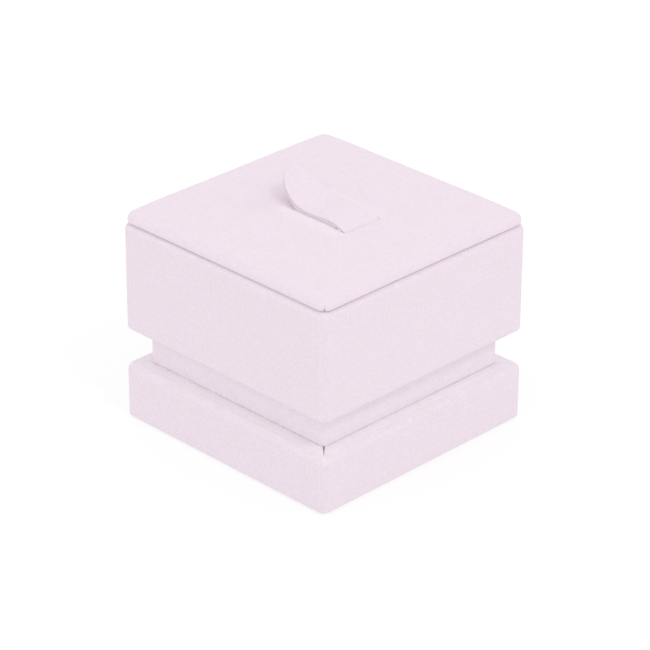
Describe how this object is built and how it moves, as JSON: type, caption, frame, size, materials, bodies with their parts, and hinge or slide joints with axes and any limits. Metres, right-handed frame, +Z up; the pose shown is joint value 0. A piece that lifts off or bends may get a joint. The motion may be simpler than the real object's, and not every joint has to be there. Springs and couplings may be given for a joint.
{
  "type": "ring display box",
  "caption": "Square suede-wrapped ring display box: plinth, recessed neck and hollow box, closed by a lift-off pad with a sprung tongue that holds a finger ring.",
  "frame": {"origin": "centre of the underside, on the surface that the box stands on", "axes": "+Z up, front face towards -Y, the clip's free end towards +Y"},
  "size_m": [0.0602, 0.0602, 0.0558],
  "materials": {
    "suede": "matte pale lilac-pink microfibre suede",
    "lining_suede": "matte pale lilac-pink suede lining",
    "felt": "pressed felt",
    "fibre_board": "sanded wood-fibre board",
    "card": "grey card",
    "foam": "white open foam",
    "spring_steel": "cold-rolled strip",
    "zinc_steel": "zinc plated"
  },
  "bodies": {
    "stand": {"base_sheet": "felt", "plinth_board": "fibre_board", "plinth_wrap": "suede", "plinth_screws": "zinc_steel", "neck_block": "fibre_board", "neck_wrap": "suede", "box_floor": "fibre_board", "box_front_wall": "fibre_board", "box_back_wall": "fibre_board", "box_left_wall": "fibre_board", "box_right_wall": "fibre_board", "corner_pins": "zinc_steel", "box_wrap": "suede", "box_screws": "zinc_steel", "lining_band": "lining_suede", "lining_floor": "lining_suede"},
    "pad": {"pad_board": "card", "pad_foam": "foam", "pad_wrap": "suede", "plug_board": "fibre_board", "plug_cover": "lining_suede", "clip_tail": "spring_steel", "tail_staples": "zinc_steel"},
    "clip": {"clip_spring": "spring_steel", "clip_top_suede": "suede", "clip_under_suede": "suede"}
  },
  "joints": [
    {"name": "pad_lift", "type": "slide", "parent": "stand", "child": "pad", "axis": [0, 0, 1], "range_m": [0, 0.04]},
    {"name": "clip_flex", "type": "hinge", "parent": "pad", "child": "clip", "pos_m": [0, -0.0106, 0.04881], "axis": [1, 0, 0], "range_deg": [0, 30], "stiffness_Nm_per_rad": 0.02}
  ]
}
